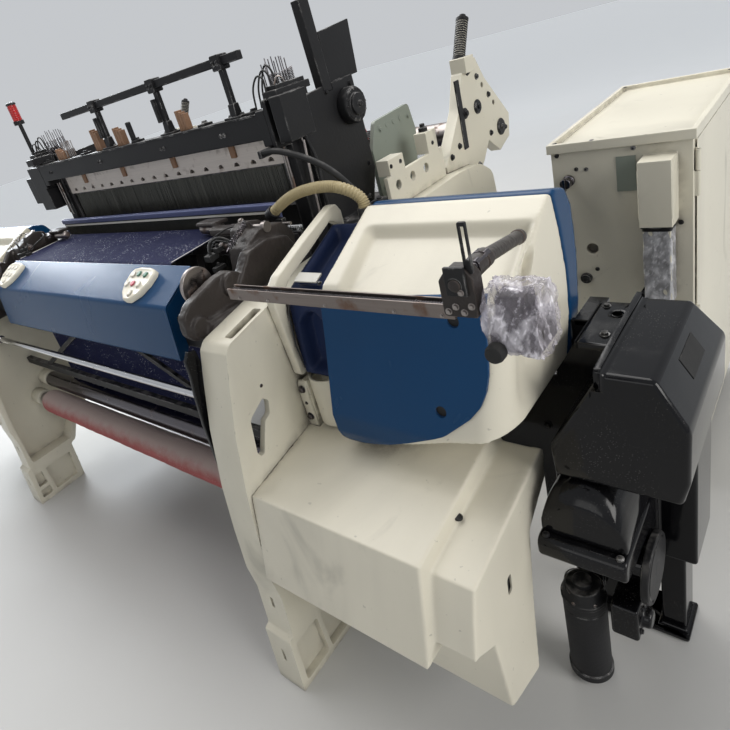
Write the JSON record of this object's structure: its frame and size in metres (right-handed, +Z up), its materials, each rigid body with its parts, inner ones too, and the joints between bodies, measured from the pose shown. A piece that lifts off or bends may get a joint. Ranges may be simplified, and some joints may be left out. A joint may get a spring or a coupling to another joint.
{
  "type": "rapier power loom",
  "caption": "Weaving machine with side housings, shedding unit, warp beam, cloth rollers, sley, heald frames and a control cabinet.",
  "frame": {"origin": "on the floor under the middle of the whole machine, halfway along its width and its depth", "axes": "+X along the width of the cloth towards the shedding unit and the cabinet, +Y from the cloth side to the warp side, +Z up"},
  "size_m": [3.04, 1.754, 1.6],
  "materials": {
    "cream_paint": "semi-gloss enamel",
    "cream_plastic": "satin",
    "blue_paint": "semi-gloss enamel",
    "navy_paint": "satin",
    "black_paint": "worn satin",
    "gloss_black": "high gloss",
    "polished_steel": "polished",
    "dark_steel": "ground",
    "wound_cloth": "dusty",
    "navy_cloth": "woven",
    "white_yarn": "yarn",
    "sley_grey": "worn",
    "reed_metal": "satin",
    "heald_aluminium": "satin",
    "lamp_plastic": "gloss",
    "oily_iron": "oily",
    "worn_steel": "worn",
    "clear_film": "creased film",
    "pink_button": "gloss",
    "green_button": "gloss",
    "black_button": "gloss",
    "ivory_button": "gloss",
    "stop_motion_paint": "satin",
    "hose_yellow": "ribbed",
    "hose_black": "satin"
  },
  "bodies": {
    "loom_frame": {"frame_right": "cream_paint", "frame_left": "cream_paint", "breast_beam": "black_paint", "rear_beam": "black_paint", "breast_cover": "blue_paint", "panel_right": "cream_plastic", "panel_left": "cream_plastic", "guard_tube": "polished_steel", "cloth_web": "navy_cloth", "warp_sheet": "white_yarn", "harness_beam": "black_paint", "upper_rail": "black_paint", "tower_right": "black_paint", "tower_left": "black_paint", "signal_lamp": "lamp_plastic", "takeup_drive_right": "oily_iron", "takeup_drive_left": "oily_iron", "housing_right": "cream_paint", "housing_left": "cream_paint", "band_right": "blue_paint", "recess_right": "navy_paint", "lower_cover_right": "cream_paint", "lower_cover_left": "cream_paint", "bar_bracket": "black_paint", "dobby_case": "gloss_black", "dobby_cover": "gloss_black", "drive_motor": "gloss_black", "cabinet_body": "cream_paint", "backrest_arms": "cream_paint", "stop_motion": "stop_motion_paint", "suction_hose": "hose_yellow", "air_hose": "hose_black"},
    "sley_and_reed": {"sley": "sley_grey", "reed": "reed_metal"},
    "heald_frame_1_body": {"heald_frame_1": "heald_aluminium"},
    "heald_frame_2_body": {"heald_frame_2": "heald_aluminium"},
    "heald_frame_3_body": {"heald_frame_3": "heald_aluminium"},
    "heald_frame_4_body": {"heald_frame_4": "heald_aluminium"},
    "cloth_roll_body": {"cloth_roll": "wound_cloth"},
    "takeup_roller_body": {"takeup_roller": "dark_steel"},
    "press_roller_body": {"press_roller": "polished_steel"},
    "warp_beam_body": {"warp_beam": "heald_aluminium"},
    "backrest_roller_body": {"backrest_roller": "dark_steel"},
    "rapier_wheel_right_body": {"rapier_wheel_right": "heald_aluminium"},
    "rapier_wheel_left_body": {"rapier_wheel_left": "heald_aluminium"},
    "door_right_body": {"door_right": "blue_paint"},
    "door_left_body": {"door_left": "blue_paint"},
    "front_lever_body": {"front_lever": "black_paint"},
    "button_1_body": {"button_1": "pink_button"},
    "button_2_body": {"button_2": "green_button"},
    "button_3_body": {"button_3": "ivory_button"},
    "button_4_body": {"button_4": "black_button"},
    "button_5_body": {"button_5": "pink_button"},
    "button_6_body": {"button_6": "black_button"},
    "button_7_body": {"button_7": "ivory_button"},
    "feeler_arm": {"feeler_bar": "worn_steel", "wrapped_sensor": "clear_film"},
    "cabinet_door_body": {"cabinet_door": "cream_paint"},
    "cabinet_knob_body": {"cabinet_knob": "black_button"},
    "handwheel_body": {"handwheel": "gloss_black"}
  },
  "joints": [
    {"name": "sley_swing", "type": "hinge", "parent": "loom_frame", "child": "sley_and_reed", "pos_m": [-0.12, -0.326, 0.56], "axis": [1, 0, 0], "range_deg": [-6, 0]},
    {"name": "heald_frame_1_lift", "type": "slide", "parent": "loom_frame", "child": "heald_frame_1_body", "axis": [0, 0, 1], "range_m": [-0.035, 0.035]},
    {"name": "heald_frame_2_lift", "type": "slide", "parent": "loom_frame", "child": "heald_frame_2_body", "axis": [0, 0, 1], "range_m": [-0.035, 0.035]},
    {"name": "heald_frame_3_lift", "type": "slide", "parent": "loom_frame", "child": "heald_frame_3_body", "axis": [0, 0, 1], "range_m": [-0.035, 0.035]},
    {"name": "heald_frame_4_lift", "type": "slide", "parent": "loom_frame", "child": "heald_frame_4_body", "axis": [0, 0, 1], "range_m": [-0.035, 0.035]},
    {"name": "cloth_roll_turn", "type": "hinge", "parent": "loom_frame", "child": "cloth_roll_body", "pos_m": [-0.12, -0.646, 0.425], "axis": [1, 0, 0], "continuous": true},
    {"name": "takeup_roller_turn", "type": "hinge", "parent": "loom_frame", "child": "takeup_roller_body", "pos_m": [-0.12, -0.581, 0.485], "axis": [1, 0, 0], "continuous": true},
    {"name": "press_roller_turn", "type": "hinge", "parent": "loom_frame", "child": "press_roller_body", "pos_m": [-0.12, -0.522, 0.462], "axis": [1, 0, 0], "continuous": true},
    {"name": "warp_beam_turn", "type": "hinge", "parent": "loom_frame", "child": "warp_beam_body", "pos_m": [-0.12, 0.479, 0.48], "axis": [1, 0, 0], "continuous": true},
    {"name": "backrest_roller_turn", "type": "hinge", "parent": "loom_frame", "child": "backrest_roller_body", "pos_m": [-0.12, 0.774, 1.01], "axis": [1, 0, 0], "continuous": true},
    {"name": "rapier_wheel_right_turn", "type": "hinge", "parent": "loom_frame", "child": "rapier_wheel_right_body", "pos_m": [1.07, -0.381, 0.892], "axis": [0, 1, 0], "range_deg": [-340, 0]},
    {"name": "rapier_wheel_left_turn", "type": "hinge", "parent": "loom_frame", "child": "rapier_wheel_left_body", "pos_m": [-1.31, -0.381, 0.892], "axis": [0, 1, 0], "range_deg": [0, 340]},
    {"name": "door_right_open", "type": "hinge", "parent": "loom_frame", "child": "door_right_body", "pos_m": [0.886, -0.627, 0.85], "axis": [0, 0, -1], "range_deg": [0, 95]},
    {"name": "door_left_open", "type": "hinge", "parent": "loom_frame", "child": "door_left_body", "pos_m": [-1.011, -0.627, 0.85], "axis": [0, 0, 1], "range_deg": [0, 95]},
    {"name": "front_lever_tilt", "type": "hinge", "parent": "loom_frame", "child": "front_lever_body", "pos_m": [0.63, -0.755, 0.7], "axis": [1, 0, 0], "range_deg": [0, 25]},
    {"name": "button_1_press", "type": "slide", "parent": "loom_frame", "child": "button_1_body", "axis": [0, 0.4869, -0.8734], "range_m": [0, 0.002], "stiffness_N_per_m": 300, "springref_m": -0.002},
    {"name": "button_2_press", "type": "slide", "parent": "loom_frame", "child": "button_2_body", "axis": [0, 0.4869, -0.8734], "range_m": [0, 0.002], "stiffness_N_per_m": 300, "springref_m": -0.002},
    {"name": "button_3_press", "type": "slide", "parent": "loom_frame", "child": "button_3_body", "axis": [0, 0.4869, -0.8734], "range_m": [0, 0.002], "stiffness_N_per_m": 300, "springref_m": -0.002},
    {"name": "button_4_press", "type": "slide", "parent": "loom_frame", "child": "button_4_body", "axis": [0, 0.4869, -0.8734], "range_m": [0, 0.002], "stiffness_N_per_m": 300, "springref_m": -0.002},
    {"name": "button_5_press", "type": "slide", "parent": "loom_frame", "child": "button_5_body", "axis": [0, 0.4869, -0.8734], "range_m": [0, 0.002], "stiffness_N_per_m": 300, "springref_m": -0.002},
    {"name": "button_6_press", "type": "slide", "parent": "loom_frame", "child": "button_6_body", "axis": [0, 0.4869, -0.8734], "range_m": [0, 0.002], "stiffness_N_per_m": 300, "springref_m": -0.002},
    {"name": "button_7_press", "type": "slide", "parent": "loom_frame", "child": "button_7_body", "axis": [0, 0.4869, -0.8734], "range_m": [0, 0.002], "stiffness_N_per_m": 300, "springref_m": -0.002},
    {"name": "feeler_bar_lift", "type": "hinge", "parent": "loom_frame", "child": "feeler_arm", "pos_m": [1.284, -0.691, 1.104], "axis": [0, 1, 0], "range_deg": [0, 70]},
    {"name": "cabinet_door_open", "type": "hinge", "parent": "loom_frame", "child": "cabinet_door_body", "pos_m": [1.408, 0.199, 0.55], "axis": [0, 0, -1], "range_deg": [0, 100]},
    {"name": "cabinet_knob_turn", "type": "hinge", "parent": "loom_frame", "child": "cabinet_knob_body", "pos_m": [1.126, 0.169, 0.962], "axis": [0, 1, 0], "range_deg": [0, 90]},
    {"name": "handwheel_turn", "type": "hinge", "parent": "loom_frame", "child": "handwheel_body", "pos_m": [1.44, -0.446, 0.372], "axis": [1, 0, 0], "continuous": true}
  ],
  "couplings": [
    {"joint": "takeup_roller_turn", "follows": "cloth_roll_turn", "ratio": 1.4706},
    {"joint": "press_roller_turn", "follows": "cloth_roll_turn", "ratio": -2.6316},
    {"joint": "backrest_roller_turn", "follows": "warp_beam_turn", "ratio": 4.6875},
    {"joint": "rapier_wheel_left_turn", "follows": "rapier_wheel_right_turn", "ratio": -1}
  ]
}
